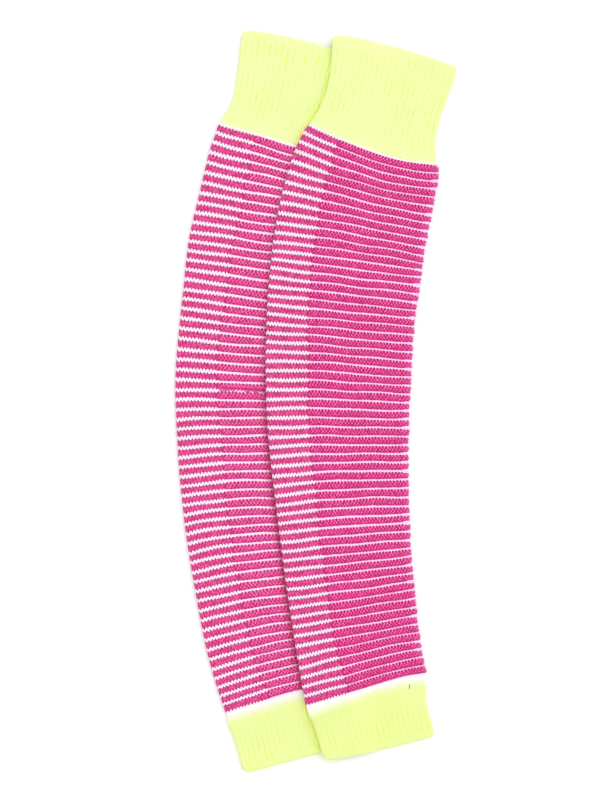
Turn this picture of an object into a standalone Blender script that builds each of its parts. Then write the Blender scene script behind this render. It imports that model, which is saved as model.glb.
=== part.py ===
# A pair of knitted leg warmers lying flat, the right leg on top of the left one.
#
# Each leg is a round-knitted tube that lies flat, so it has a top layer, a bottom layer and a fold
# down each side. From the top it is a ribbed upper cuff, a long striped tube, a plain band and a
# short ribbed lower cuff. The tube's stripes stand up as rounded welts on two thirds of its width
# and round its right fold. Its left third is plain knit.
#
# A place along a leg is a row: row 0 is the top of the first stripe, each stripe is one row, and the
# cuffs carry the count on at both ends. A place across it is a share of the width, from the left
# fold to the right fold. Metres, +Z up, +Y towards the upper cuffs. The origin is under the middle
# of the pair's box, on the surface that it lies on. Sizes below are in millimetres.

import math
from collections import namedtuple

import bmesh
import bpy
from mathutils import Vector

MILLIMETRE = 0.001
COLLECTION_NAME = "leg_warmers"

# Cloth
WALL = 1.8  # one layer of plain knit
SLIT = 0.6  # between the two layers of a flat tube
SEAM_GAP = 0.3  # between two pieces of a leg
WELT_HEIGHT = 1.1  # of a stripe over the groove beside it
RIB_HEIGHT = 1.0  # of a cuff's rib over its furrow
PLAIN_RISE = 0.4  # of the plain knit over the welts' grooves
FOLD_RADIUS = WALL + SLIT / 2
EDGE = FOLD_RADIUS + 0.7  # from a leg's outline to the middle of its fold

# Rows along a leg
UPPER_END = -11.5
UPPER_SEAM = -0.3
STRIPES = 61
LOWER_SEAM = 62.4
LOWER_END = 70.0
WELT_SHOULDERS = (0.22, 0.78)  # of a row, where a welt's flat crest starts and ends
ROWS_PER_COARSE_STEP = 3  # stripes between two sections of the plain surfaces

# Cuffs
RIBS_PER_FACE = 21
RIB_SHOULDER = 0.28  # of a rib's pitch, from its furrow to its crest
RIB_START = 9.0  # from a cuff's open end, where its ribs have their full height
LIP = 1.2  # rounded edge of a cuff's open end
LIP_THINNING = 0.5
LEFT_CORNER = 7.5  # radius where the left fold meets the open end
RIGHT_CORNER = 4.5
UPPER_CUFF_ROWS = (-11.5, -11.35, -10.5, -7.6, -4.4, -2.0, -0.3)
LOWER_CUFF_ROWS = (62.4, 64.5, 66.8, 68.7, 69.8, 70.0)

# How the right leg lies over the left one
REST_CLEARANCE = 0.7  # over the left leg's welts
OVERHANG = 4.0  # past the left leg's edge, before the cloth starts to sink
SINK_LENGTH = 20.0  # over which it sinks to the surface

Section = namedtuple("Section", "row x y width tilt bow turn")
# x, y: middle of the flat tube. tilt: of the row, in degrees. bow: how far the row's middle hangs
# towards the lower cuff. turn: share of the width at which plain knit turns into welts.

LEFT_LEG = (
    Section(-11.5, -10.0, 302.5, 110.5, -14.5, -4.0, 0.29),
    Section(-8.6, -14.0, 281.5, 107.0, -14.5, -1.5, 0.29),
    Section(-5.8, -18.0, 261.0, 103.5, -14.5, 0.0, 0.29),
    Section(-3.0, -22.5, 241.5, 103.0, -14.5, 1.0, 0.29),
    Section(-0.3, -28.0, 222.5, 113.5, -16.0, 1.0, 0.285),
    Section(1.0, -28.5, 214.0, 118.0, -15.0, 2.0, 0.28),
    Section(3.0, -31.0, 198.5, 124.0, -13.0, 1.5, 0.285),
    Section(7.0, -36.0, 168.0, 129.0, -9.0, 1.5, 0.29),
    Section(11.0, -43.5, 136.5, 129.0, -7.5, 1.5, 0.29),
    Section(14.0, -47.0, 112.5, 129.0, -7.5, 1.0, 0.29),
    Section(17.0, -50.0, 88.0, 128.0, -7.5, 0.5, 0.285),
    Section(20.0, -53.5, 64.5, 126.0, -6.0, 1.0, 0.28),
    Section(26.0, -58.0, 16.5, 124.5, -3.0, 0.5, 0.28),
    Section(33.0, -58.5, -37.5, 119.5, 2.0, -1.0, 0.32),
    Section(40.0, -56.5, -92.0, 113.5, 4.5, -2.0, 0.335),
    Section(47.0, -50.5, -145.5, 109.5, 8.0, -2.5, 0.345),
    Section(54.0, -41.5, -200.5, 106.0, 12.5, -2.0, 0.355),
    Section(58.0, -33.5, -230.5, 105.5, 14.5, -2.0, 0.37),
    Section(61.0, -27.5, -250.5, 104.0, 15.5, -1.5, 0.375),
    Section(62.4, -26.5, -258.5, 104.0, 16.5, -1.5, 0.38),
    Section(65.0, -23.0, -272.0, 100.0, 15.0, -1.0, 0.385),
    Section(67.5, -19.5, -286.5, 97.5, 14.5, -0.5, 0.39),
    Section(70.0, -15.5, -304.5, 97.0, 15.0, -0.5, 0.39),
)

RIGHT_LEG = (
    Section(-11.5, 67.0, 298.0, 111.0, -15.0, -3.0, 0.25),
    Section(-8.6, 63.0, 277.0, 105.0, -15.0, -1.0, 0.25),
    Section(-5.8, 58.0, 256.5, 100.5, -15.5, 1.5, 0.25),
    Section(-3.0, 52.0, 236.5, 102.5, -16.0, 4.0, 0.25),
    Section(-0.3, 48.0, 219.0, 114.0, -18.0, 5.0, 0.25),
    Section(1.0, 46.0, 211.0, 120.5, -17.5, 6.0, 0.255),
    Section(3.0, 41.5, 196.0, 125.0, -15.5, 4.0, 0.26),
    Section(7.0, 33.5, 164.0, 128.5, -12.5, 0.0, 0.265),
    Section(11.0, 27.5, 133.5, 128.5, -9.0, -1.5, 0.27),
    Section(14.0, 25.0, 113.0, 128.5, -7.0, -0.5, 0.27),
    Section(17.0, 22.5, 90.5, 127.5, -6.0, -0.5, 0.275),
    Section(20.0, 20.5, 68.5, 126.0, -5.0, -0.5, 0.28),
    Section(26.0, 18.5, 22.5, 124.0, -3.0, -1.5, 0.29),
    Section(33.0, 18.5, -30.5, 119.5, 0.5, -1.5, 0.29),
    Section(40.0, 22.0, -84.5, 113.5, 3.5, -1.0, 0.305),
    Section(47.0, 26.5, -137.5, 109.0, 5.5, 0.5, 0.315),
    Section(54.0, 33.0, -190.5, 106.5, 10.0, 1.0, 0.315),
    Section(58.0, 37.5, -221.5, 105.5, 14.0, 0.0, 0.34),
    Section(61.0, 42.0, -243.5, 106.5, 15.5, -0.5, 0.36),
    Section(62.4, 43.5, -253.0, 103.5, 15.0, -2.0, 0.36),
    Section(65.0, 45.5, -264.5, 99.0, 12.5, -1.0, 0.36),
    Section(67.5, 49.0, -278.0, 97.5, 11.0, 1.0, 0.36),
    Section(70.0, 53.5, -295.0, 97.5, 12.5, 1.5, 0.36),
)

# A column of points runs along a leg at one place of its section. side: "top", "bottom", "left" or
# "right". at: a share of the way from the left fold's middle to the right fold's on the two
# layers, or an angle round a fold from its top, in degrees. zone: "plain" or "welt" where the
# share counts within that part of the top layer.
Column = namedtuple("Column", "side at zone", defaults=("all",))

FOLD_ANGLES = (45, 90, 135)
BOUNDARY_MARGIN = 4.0  # between the last plain column and the welts' ends
PLAIN_SHARES = (0.0, 0.5, 1.0)
LEFT_WELT_SHARES = (0.0, 0.25, 0.5, 0.75, 1.0)
LEFT_LAYER_SHARES = (0.0, 0.33, 0.67, 1.0)
RIGHT_WELT_SHARES = (0.0, 0.12, 0.24, 0.37, 0.52, 0.68, 0.84, 1.0)
RIGHT_LAYER_SHARES = (0.0, 0.14, 0.28, 0.38, 0.48, 0.58, 0.7, 0.85, 1.0)
BAND_SHARES = (0.0, 0.1, 0.2, 0.3, 0.4, 0.5, 0.6, 0.7, 0.8, 0.9, 1.0)

# Finishes: colour, roughness
LIME = ((0.88, 0.98, 0.38, 1.0), 0.85)
PINK = ((0.72, 0.05, 0.27, 1.0), 0.8)
WHITE = ((0.93, 0.88, 0.89, 1.0), 0.85)


def clear_scene():
    for thing in list(bpy.data.objects):
        bpy.data.objects.remove(thing)


def make_material(name, finish):
    colour, roughness = finish
    material = bpy.data.materials.new(name)
    material.use_nodes = True
    shader = material.node_tree.nodes["Principled BSDF"]
    shader.inputs["Base Color"].default_value = colour
    shader.inputs["Roughness"].default_value = roughness
    material.diffuse_color = colour
    return material


def smoothstep(value):
    value = min(max(value, 0.0), 1.0)
    return value * value * (3.0 - 2.0 * value)


def slope(table, field, index):
    """How fast a field of the table changes for each row, at one of its sections."""
    before = table[max(index - 1, 0)]
    after = table[min(index + 1, len(table) - 1)]
    return (getattr(after, field) - getattr(before, field)) / (after.row - before.row)


def section_at(table, row):
    """The section at any row, on a smooth curve through the table's sections."""
    index = 0
    while index < len(table) - 2 and table[index + 1].row < row:
        index += 1
    first, second = table[index], table[index + 1]
    step = second.row - first.row
    u = (row - first.row) / step
    ease = u * u * (3.0 - 2.0 * u)
    values = {"row": row}
    for field in Section._fields[1:]:
        start, end = getattr(first, field), getattr(second, field)
        rise = slope(table, field, index) * step * u * (1.0 - u) ** 2
        fall = slope(table, field, index + 1) * step * u * u * (u - 1.0)
        values[field] = start + (end - start) * ease + rise + fall
    return Section(**values)


def plan_point(section, distance, shift):
    """Seen from above: a place this far from the left fold, moved by shift towards the lower cuff."""
    tilt = math.radians(section.tilt)
    across = Vector((math.cos(tilt), math.sin(tilt)))
    down = Vector((math.sin(tilt), -math.cos(tilt)))
    share = distance / section.width
    sag = section.bow * 4.0 * share * (1.0 - share)
    middle = Vector((section.x, section.y))
    return middle + across * (distance - section.width / 2.0) + down * (sag + shift)


def outline_of(table):
    """A leg's outline from above, as a closed list of points."""
    rows = [UPPER_END + (LOWER_END - UPPER_END) * i / 60 for i in range(61)]
    sections = [section_at(table, row) for row in rows]
    left_fold = [plan_point(section, 0.0, 0.0) for section in sections]
    right_fold = [plan_point(section, section.width, 0.0) for section in sections]
    return right_fold + left_fold[::-1]


def distance_outside(outline, place):
    """From a place to an outline, and 0 inside it."""
    nearest, inside = math.inf, False
    for start, end in zip(outline, outline[1:] + outline[:1]):
        edge = end - start
        along = min(max((place - start).dot(edge) / edge.length_squared, 0.0), 1.0)
        nearest = min(nearest, (place - start - edge * along).length)
        if (start.y > place.y) != (end.y > place.y):
            crossing = start.x + edge.x * (place.y - start.y) / edge.y
            inside = inside != (crossing > place.x)
    return 0.0 if inside else nearest


def lies_flat(place):
    return 0.0


def lies_on(outline):
    """How high the cloth of the upper leg lies over the surface, at a place seen from above."""
    height = 2.0 * FOLD_RADIUS + WELT_HEIGHT + REST_CLEARANCE

    def lift(place):
        past_edge = distance_outside(outline, place) - OVERHANG
        return height * (1.0 - smoothstep(past_edge / SINK_LENGTH))

    return lift


def share_of(column, section):
    """A top column's share of the width between the two folds' middles."""
    turn = (section.turn * section.width - EDGE) / (section.width - 2.0 * EDGE)
    if column.zone == "welt":
        return turn + column.at * (1.0 - turn)
    if column.zone == "plain":
        return column.at * (turn - BOUNDARY_MARGIN / section.width)
    return column.at


def column_point(section, column, half, relief, lift, shift=0.0, corner=0.0):
    """A point of a leg's wall. half: from the slit's middle to the surface. relief: on top of it."""
    between_folds = section.width - 2.0 * EDGE
    if column.side in ("top", "bottom"):
        distance = EDGE + share_of(column, section) * between_folds
        height = half + relief if column.side == "top" else -half
    else:
        angle = math.radians(column.at)
        reach = half + relief * min(1.0, 2.0 - column.at / 90.0)
        distance = EDGE - reach * math.sin(angle)
        if column.side == "right":
            distance = section.width - distance
        height = reach * math.cos(angle)
    if corner:
        for to_fold, radius in ((distance, LEFT_CORNER), (section.width - distance, RIGHT_CORNER)):
            short = radius - min(max(to_fold, 0.0), radius)
            shift += corner * (radius - math.sqrt(radius**2 - short**2))
    place = plan_point(section, distance, shift)
    return Vector((*place, FOLD_RADIUS + height + lift(place))) * MILLIMETRE


def loop_position(column, section):
    """A number that grows round the section, from the left end of the top layer."""
    if column.side == "top":
        return share_of(column, section)
    if column.side == "right":
        return 1.0 + column.at / 180.0
    if column.side == "bottom":
        return 3.0 - column.at
    return 4.0 - column.at / 180.0


def join_rows(mesh, first, second, closed):
    """Quads between two rows of as many points."""
    count = len(first)
    for i in range(count if closed else count - 1):
        after = (i + 1) % count
        mesh.faces.new((first[i], first[after], second[after], second[i]))


def join_uneven(mesh, first, first_places, second, second_places):
    """Triangles between two chains of unlike numbers of points, matched by their places."""
    i = j = 0
    while i < len(first) - 1 or j < len(second) - 1:
        if j == len(second) - 1:
            step_first = True
        elif i == len(first) - 1:
            step_first = False
        else:
            first_middle = first_places[i] + first_places[i + 1]
            second_middle = second_places[j] + second_places[j + 1]
            step_first = first_middle <= second_middle
        if step_first:
            mesh.faces.new((first[i], first[i + 1], second[j]))
            i += 1
        else:
            mesh.faces.new((first[i], second[j + 1], second[j]))
            j += 1


def close_end(mesh, section, outer, outer_columns, inner, inner_columns):
    """The cut edge of the cloth, between the outer and the inner loop of a section."""
    outer_places = [loop_position(column, section) for column in outer_columns]
    inner_places = [loop_position(column, section) for column in inner_columns]
    join_uneven(
        mesh,
        outer + outer[:1],
        outer_places + [outer_places[0] + 4.0],
        inner + inner[:1],
        inner_places + [inner_places[0] + 4.0],
    )


def folds(side):
    angles = FOLD_ANGLES if side == "right" else FOLD_ANGLES[::-1]
    return [Column(side, angle) for angle in angles]


def layer(side, shares):
    ordered = shares if side == "top" else shares[::-1]
    return [Column(side, share) for share in ordered]


def inner_columns(layer_shares):
    top, bottom = layer("top", layer_shares), layer("bottom", layer_shares)
    return top + [Column("right", 90)] + bottom + [Column("left", 90)]


def add_piece(mesh, name, material, collection):
    bmesh.ops.recalc_face_normals(mesh, faces=mesh.faces[:])
    data = bpy.data.meshes.new(name)
    mesh.to_mesh(data)
    mesh.free()
    data.materials.append(material)
    data.shade_smooth()
    piece = bpy.data.objects.new(name, data)
    collection.objects.link(piece)
    return piece


def seam_shift(row, first_row, last_row):
    """Half a seam's gap, at the ends of a piece that meet another piece."""
    if row == first_row and row != UPPER_END:
        return SEAM_GAP / 2.0
    if row == last_row and row != LOWER_END:
        return -SEAM_GAP / 2.0
    return 0.0


def simple_tube(sections, columns, inner, relief_at, edge_at, lift):
    """A piece whose sections all have the same columns.

    relief_at(column, section): height over plain cloth. edge_at(section): how far the surface is
    thinned, and how much of the round corner is cut, near an open end.
    """
    mesh = bmesh.new()
    first_row, last_row = sections[0].row, sections[-1].row
    outer_loops, inner_loops = [], []
    for section in sections:
        shift = seam_shift(section.row, first_row, last_row)
        thinning, corner = edge_at(section)
        outer_loop = []
        for column in columns:
            relief = relief_at(column, section)
            if column.side == "top":
                relief -= thinning
            point = column_point(section, column, FOLD_RADIUS, relief, lift, shift, corner)
            outer_loop.append(mesh.verts.new(point))
        inner_loop = [
            mesh.verts.new(column_point(section, column, SLIT / 2.0, 0.0, lift, shift, corner))
            for column in inner
        ]
        outer_loops.append(outer_loop)
        inner_loops.append(inner_loop)
    for loops in (outer_loops, inner_loops):
        for first, second in zip(loops, loops[1:]):
            join_rows(mesh, first, second, closed=True)
    for end in (0, -1):
        close_end(mesh, sections[end], outer_loops[end], columns, inner_loops[end], inner)
    return mesh


def rib_columns(layer_shares):
    """Round a cuff: a crest, a furrow and a crest for each rib on top, and a plain underside."""
    shares = [0.0]
    for furrow in range(1, RIBS_PER_FACE):
        for offset in (-RIB_SHOULDER, 0.0, RIB_SHOULDER):
            shares.append((furrow + offset) / RIBS_PER_FACE)
    shares.append(1.0)
    top = layer("top", shares)
    return top + folds("right") + layer("bottom", layer_shares) + folds("left")


def make_cuff(table, rows, layer_shares, lift):
    sections = [section_at(table, row) for row in rows]
    open_row = UPPER_END if rows[0] == UPPER_END else LOWER_END
    open_section = section_at(table, open_row)

    def from_end(section):
        return math.hypot(section.x - open_section.x, section.y - open_section.y)

    def relief_at(column, section):
        if column.side == "bottom":
            return 0.0
        is_furrow = column.side == "top" and (column.at * RIBS_PER_FACE) % 1.0 < 1e-6
        inside = 0.0 < column.at < 1.0
        if column.side == "top" and inside and is_furrow:
            return 0.0
        return RIB_HEIGHT * smoothstep(from_end(section) / RIB_START)

    def edge_at(section):
        distance = from_end(section)
        thinning = LIP_THINNING * (1.0 - smoothstep(distance / LIP))
        corner = max(0.0, 1.0 - distance / RIB_START)
        return thinning, corner if open_row == UPPER_END else -corner

    columns = rib_columns(layer_shares)
    inner = inner_columns(layer_shares)
    return simple_tube(sections, columns, inner, relief_at, edge_at, lift)


def make_band(table, layer_shares, lift):
    """The plain band between the last stripe and the lower cuff."""
    rows = (STRIPES, (STRIPES + LOWER_SEAM) / 2.0, LOWER_SEAM)
    sections = [section_at(table, row) for row in rows]
    top = layer("top", BAND_SHARES)
    columns = top + folds("right") + layer("bottom", layer_shares) + folds("left")

    def relief_at(column, section):
        return PLAIN_RISE if column.side == "top" else 0.0

    inner = inner_columns(layer_shares)
    return simple_tube(sections, columns, inner, relief_at, lambda section: (0.0, 0.0), lift)


def welt_rows():
    """Each row that the welts need, with its relief: grooves between stripes, crests on them."""
    rows = [(UPPER_SEAM, 0.0)]
    for stripe in range(STRIPES):
        if stripe:
            rows.append((float(stripe), 0.0))
        rows.extend((stripe + shoulder, WELT_HEIGHT) for shoulder in WELT_SHOULDERS)
    rows.append((float(STRIPES), 0.0))
    return rows


def make_striped_tube(table, welt_shares, layer_shares, lift):
    """The long tube: a fine surface with the welts, and a coarse one for all that is plain."""
    mesh = bmesh.new()
    welt_columns = [Column("top", share, "welt") for share in welt_shares] + folds("right")
    plain_columns = (
        layer("bottom", layer_shares)
        + folds("left")
        + [Column("top", share, "plain") for share in PLAIN_SHARES]
    )
    slit_columns = inner_columns(layer_shares)

    def points(row, columns, half, relief):
        section = section_at(table, row)
        shift = seam_shift(row, UPPER_SEAM, STRIPES)
        return [
            mesh.verts.new(column_point(section, column, half, relief, lift, shift))
            for column in columns
        ]

    fine_rows = [row for row, _ in welt_rows()]
    fine = [points(row, welt_columns, FOLD_RADIUS, relief) for row, relief in welt_rows()]
    steps = [float(row) for row in range(ROWS_PER_COARSE_STEP, STRIPES - 1, ROWS_PER_COARSE_STEP)]
    coarse_rows = [UPPER_SEAM] + steps + [float(STRIPES)]
    coarse = []
    for row in coarse_rows:
        below = points(row, layer("bottom", layer_shares), FOLD_RADIUS, 0.0)
        above = points(row, plain_columns[len(below) :], FOLD_RADIUS, PLAIN_RISE)
        coarse.append(below + above)
    slit = [points(row, slit_columns, SLIT / 2.0, 0.0) for row in coarse_rows]

    for first, second in zip(fine, fine[1:]):
        join_rows(mesh, first, second, closed=False)
    for first, second in zip(coarse, coarse[1:]):
        join_rows(mesh, first, second, closed=False)
    for first, second in zip(slit, slit[1:]):
        join_rows(mesh, first, second, closed=True)
    for fine_side, coarse_side in ((0, -1), (-1, 0)):
        fine_chain = [points_of_row[fine_side] for points_of_row in fine]
        coarse_chain = [points_of_row[coarse_side] for points_of_row in coarse]
        join_uneven(mesh, fine_chain, fine_rows, coarse_chain, coarse_rows)
    for end, row in ((0, UPPER_SEAM), (-1, float(STRIPES))):
        plain_top = len(PLAIN_SHARES)
        outer = coarse[end][-plain_top:] + fine[end] + coarse[end][:-plain_top]
        columns = plain_columns[-plain_top:] + welt_columns + plain_columns[:-plain_top]
        close_end(mesh, section_at(table, row), outer, columns, slit[end], slit_columns)
    return mesh


def make_leg(name, table, welt_shares, layer_shares, lift, materials, collection):
    lime, pink, white = materials
    upper = make_cuff(table, UPPER_CUFF_ROWS, layer_shares, lift)
    tube = make_striped_tube(table, welt_shares, layer_shares, lift)
    band = make_band(table, layer_shares, lift)
    lower = make_cuff(table, LOWER_CUFF_ROWS, layer_shares, lift)
    add_piece(upper, f"{name}_upper_cuff", lime, collection)
    add_piece(tube, f"{name}_striped_tube", pink, collection)
    add_piece(band, f"{name}_white_band", white, collection)
    add_piece(lower, f"{name}_lower_cuff", lime, collection)


def build():
    clear_scene()
    collection = bpy.data.collections.new(COLLECTION_NAME)
    bpy.context.scene.collection.children.link(collection)
    materials = (
        make_material("lime_rib_knit", LIME),
        make_material("pink_striped_knit", PINK),
        make_material("white_plain_knit", WHITE),
    )
    make_leg("left", LEFT_LEG, LEFT_WELT_SHARES, LEFT_LAYER_SHARES, lies_flat, materials, collection)
    on_left_leg = lies_on(outline_of(LEFT_LEG))
    make_leg(
        "right", RIGHT_LEG, RIGHT_WELT_SHARES, RIGHT_LAYER_SHARES, on_left_leg, materials, collection
    )


build()
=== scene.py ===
import math

import bpy
import numpy as np
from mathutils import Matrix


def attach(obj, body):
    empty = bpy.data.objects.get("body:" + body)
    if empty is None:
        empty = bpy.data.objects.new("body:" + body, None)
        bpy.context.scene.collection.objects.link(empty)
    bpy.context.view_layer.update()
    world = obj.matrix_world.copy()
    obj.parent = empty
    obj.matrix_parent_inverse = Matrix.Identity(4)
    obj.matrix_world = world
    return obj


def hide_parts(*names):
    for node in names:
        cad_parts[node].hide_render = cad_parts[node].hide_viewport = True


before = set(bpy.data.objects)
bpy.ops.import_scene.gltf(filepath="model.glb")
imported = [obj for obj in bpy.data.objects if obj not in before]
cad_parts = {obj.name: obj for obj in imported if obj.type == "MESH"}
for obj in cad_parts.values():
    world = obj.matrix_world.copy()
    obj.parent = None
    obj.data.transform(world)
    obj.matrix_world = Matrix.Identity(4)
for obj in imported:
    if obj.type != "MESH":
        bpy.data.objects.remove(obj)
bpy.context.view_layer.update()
print("frame loaded:", len(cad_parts), "pieces")

millimetre = 0.001

# How each leg lies. Rows count the pink stripes from the upper cuff down, and the cuffs carry the
# count on. x, y: middle of the flat tube, mm. tilt: of the row, degrees. bow: how far its middle
# hangs, mm. turn: share of the width where plain knit turns into welts. Pitches: mm for one wale.
# bends: a row, and the mm that its right end drops from the turn on, and in its last fifth.
legColumns = ("row", "x", "y", "width", "tilt", "bow", "turn")
legShape = {
    "left": {
        "plainPitch": 2.9, "weltPitch": 3.05,
        "rows": (
            (-11.5, -10.0, 302.5, 110.5, -14.5, -4.0, 0.29),
            (-8.6, -14.0, 281.5, 107.0, -14.5, -1.5, 0.29),
            (-5.8, -18.0, 261.0, 103.5, -14.5, 0.0, 0.29),
            (-3.0, -22.5, 241.5, 103.0, -14.5, 1.0, 0.29),
            (-0.3, -28.0, 222.5, 113.5, -16.0, 1.0, 0.285),
            (1.0, -28.5, 214.0, 118.0, -15.0, 2.0, 0.28),
            (3.0, -31.0, 198.5, 124.0, -13.0, 1.0, 0.285),
            (7.0, -36.0, 167.5, 129.0, -9.0, 1.0, 0.29),
            (11.0, -43.5, 136.5, 129.0, -7.5, 1.5, 0.29),
            (14.0, -47.0, 113.0, 129.0, -7.5, 1.0, 0.29),
            (17.0, -50.0, 87.5, 128.0, -7.5, 0.5, 0.285),
            (20.0, -53.5, 65.0, 126.0, -6.0, 1.5, 0.28),
            (26.0, -58.0, 15.5, 124.5, -2.5, -0.5, 0.28),
            (33.0, -58.5, -37.5, 119.5, 2.0, -1.5, 0.32),
            (40.0, -56.5, -93.5, 113.5, 4.0, -4.5, 0.335),
            (47.0, -50.5, -146.0, 109.5, 8.0, -3.0, 0.345),
            (54.0, -41.5, -201.0, 106.0, 12.0, -3.0, 0.355),
            (58.0, -33.5, -230.5, 105.5, 15.0, -3.0, 0.37),
            (61.0, -27.5, -250.5, 104.0, 15.5, -1.5, 0.375),
            (62.4, -26.5, -258.5, 104.0, 16.5, -1.5, 0.38),
            (65.0, -23.0, -272.0, 100.0, 15.0, -1.0, 0.385),
            (67.5, -19.5, -286.5, 97.5, 14.5, -0.5, 0.39),
            (70.0, -15.5, -304.5, 97.0, 15.0, -0.5, 0.39),
        ),
        "bends": (
            (-5.0, 0.0, 0.0), (1.0, 0.5, 0.0), (11.0, 0.0, 0.0), (26.0, 0.5, 0.0), (33.0, 2.0, 0.0),
            (40.0, 4.0, 0.0), (47.0, 2.0, 0.0), (54.0, 2.5, 0.0), (60.0, 0.0, 0.0),
        ),
    },
    "right": {
        "plainPitch": 2.65, "weltPitch": 2.75,
        "rows": (
            (-11.5, 67.0, 298.0, 111.0, -15.0, -3.0, 0.25),
            (-8.6, 63.0, 277.0, 105.0, -15.0, -1.0, 0.25),
            (-5.8, 58.0, 256.5, 100.5, -15.5, 1.5, 0.25),
            (-3.0, 52.0, 236.5, 102.5, -16.0, 4.0, 0.25),
            (-0.3, 48.0, 219.0, 114.0, -18.0, 5.0, 0.25),
            (1.0, 46.0, 211.0, 120.5, -17.5, 5.5, 0.255),
            (3.0, 41.5, 196.0, 125.0, -15.5, 4.0, 0.26),
            (7.0, 33.5, 164.0, 128.5, -12.5, 0.0, 0.265),
            (11.0, 27.5, 133.0, 128.5, -9.0, -2.5, 0.27),
            (14.0, 25.0, 113.0, 128.5, -7.0, 0.0, 0.27),
            (17.0, 22.5, 91.0, 127.5, -6.5, 0.0, 0.275),
            (20.0, 20.5, 69.0, 126.0, -5.0, 0.0, 0.28),
            (26.0, 18.5, 23.0, 124.0, -3.0, -1.5, 0.29),
            (33.0, 18.5, -30.5, 119.5, 0.5, -1.5, 0.29),
            (40.0, 22.0, -85.0, 113.5, 3.5, -2.5, 0.305),
            (47.0, 26.5, -137.5, 109.0, 6.0, 0.5, 0.315),
            (54.0, 33.0, -190.5, 106.5, 10.0, 0.5, 0.315),
            (58.0, 38.0, -224.0, 105.5, 12.0, -1.5, 0.34),
            (61.0, 42.5, -247.0, 106.0, 11.5, -2.5, 0.36),
            (62.4, 43.5, -254.0, 103.5, 16.0, -3.5, 0.36),
            (65.0, 45.5, -264.5, 99.0, 12.5, -1.0, 0.36),
            (67.5, 49.0, -278.0, 97.5, 11.0, 1.0, 0.36),
            (70.0, 53.5, -295.0, 97.5, 12.5, 1.5, 0.36),
        ),
        "bends": (
            (-5.0, 0.0, 0.0), (0.0, 0.0, -1.5), (8.0, 0.0, -1.0), (17.0, 0.0, 0.0), (26.0, 0.5, -1.0),
            (40.0, 1.0, -1.0), (50.0, 0.0, 0.0), (55.0, 0.0, 1.0), (58.0, -3.5, 1.0), (61.0, -7.0, 1.5),
            (62.4, -1.0, 2.0), (66.0, 0.0, 0.0),
        ),
    },
}

# What all the pieces share, in mm
knit = {
    "wales": 84,  # stitches round a leg
    "seamWale": -20,  # each piece is closed there, in the middle of the underside
    "boundaryWale": 13.5,  # where plain knit turns into welts
    "columnsPerWale": 4,
    "coarseColumns": 5,  # on the underside, on each side of the seam wale
    "foldRadius": 2.1,
    "foldInset": 0.7,  # from a leg's outline to its fold, for what stands up on the cloth
    "wall": 1.8,
    "openRows": (-11.5, 70.0),  # at the two open ends
    "corners": (7.5, 4.5),  # radius where the left and the right fold meet an open end
    "ribStart": 9.0,  # from an open end, where the ribs have their full height
    "mouth": 14.0,  # how far in the inside of an open end is made
    "weltHeight": 1.1,
    "restClearance": 0.7,  # from the left leg up to the right one
    "overhang": 4.0,  # past the left leg's outline, where the right leg starts to sink
    "sinkLength": 20.0,
}


def smoothstep(value):
    value = np.clip(value, 0.0, 1.0)
    return value * value * (3.0 - 2.0 * value)


def softWaves(seed, rowLength, rows, wales, waves=7):
    # a smooth unevenness of about -1 to 1 that closes round the leg
    chance = np.random.default_rng(seed)
    total = np.zeros(np.broadcast(rows, wales).shape)
    for _ in range(waves):
        turnsRound = chance.integers(-5, 6)
        along = chance.normal() / rowLength
        phase = chance.uniform(0, 2 * math.pi)
        total += np.sin(2 * math.pi * (rows * along + wales * turnsRound / knit["wales"]) + phase)
    return total / 3.0


def sectionsAt(leg, rows):
    # a smooth curve through the table's lines, for every field
    table = np.array(legShape[leg]["rows"])
    known, fields = table[:, 0], table[:, 1:]
    last = len(known) - 1
    after = np.minimum(np.arange(last + 1) + 1, last)
    before = np.maximum(np.arange(last + 1) - 1, 0)
    slopes = (fields[after] - fields[before]) / (known[after] - known[before])[:, None]
    start = np.clip(np.searchsorted(known, rows, side="left") - 1, 0, last - 1)
    step = (known[start + 1] - known[start])[..., None]
    u = (rows[..., None] - known[start][..., None]) / step
    ease = u * u * (3.0 - 2.0 * u)
    values = (
        fields[start] + (fields[start + 1] - fields[start]) * ease
        + slopes[start] * step * u * (1.0 - u) ** 2
        + slopes[start + 1] * step * u * u * (u - 1.0)
    )
    section = {name: values[..., i] for i, name in enumerate(legColumns[1:])}
    bendRow, hinge, flick = np.array(legShape[leg]["bends"]).T
    section["hinge"] = np.interp(rows, bendRow, hinge)
    section["flick"] = np.interp(rows, bendRow, flick)
    return section


def planPoint(section, distance, slide):
    # seen from above: this far from the left fold, moved by slide towards the lower cuff
    tilt = np.radians(section["tilt"])
    share = distance / section["width"]
    pastTurn = np.clip((share - section["turn"]) / (1.0 - section["turn"]), 0, 1)
    atEnd = np.clip(5.0 * share - 4.0, 0, 1)
    sag = section["bow"] * 4.0 * share * (1.0 - share) + slide
    sag = sag + section["hinge"] * pastTurn + section["flick"] * atEnd**2
    off = distance - section["width"] / 2.0
    x = section["x"] + np.cos(tilt) * off + np.sin(tilt) * sag
    y = section["y"] + np.sin(tilt) * off - np.cos(tilt) * sag
    return x, y


def outlineOf(leg):
    rows = np.linspace(*knit["openRows"], 61)
    section = sectionsAt(leg, rows)
    leftFold = np.stack(planPoint(section, np.zeros(len(rows)), 0.0), axis=1)
    rightFold = np.stack(planPoint(section, section["width"], 0.0), axis=1)
    return np.concatenate((rightFold, leftFold[::-1]))


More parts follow.
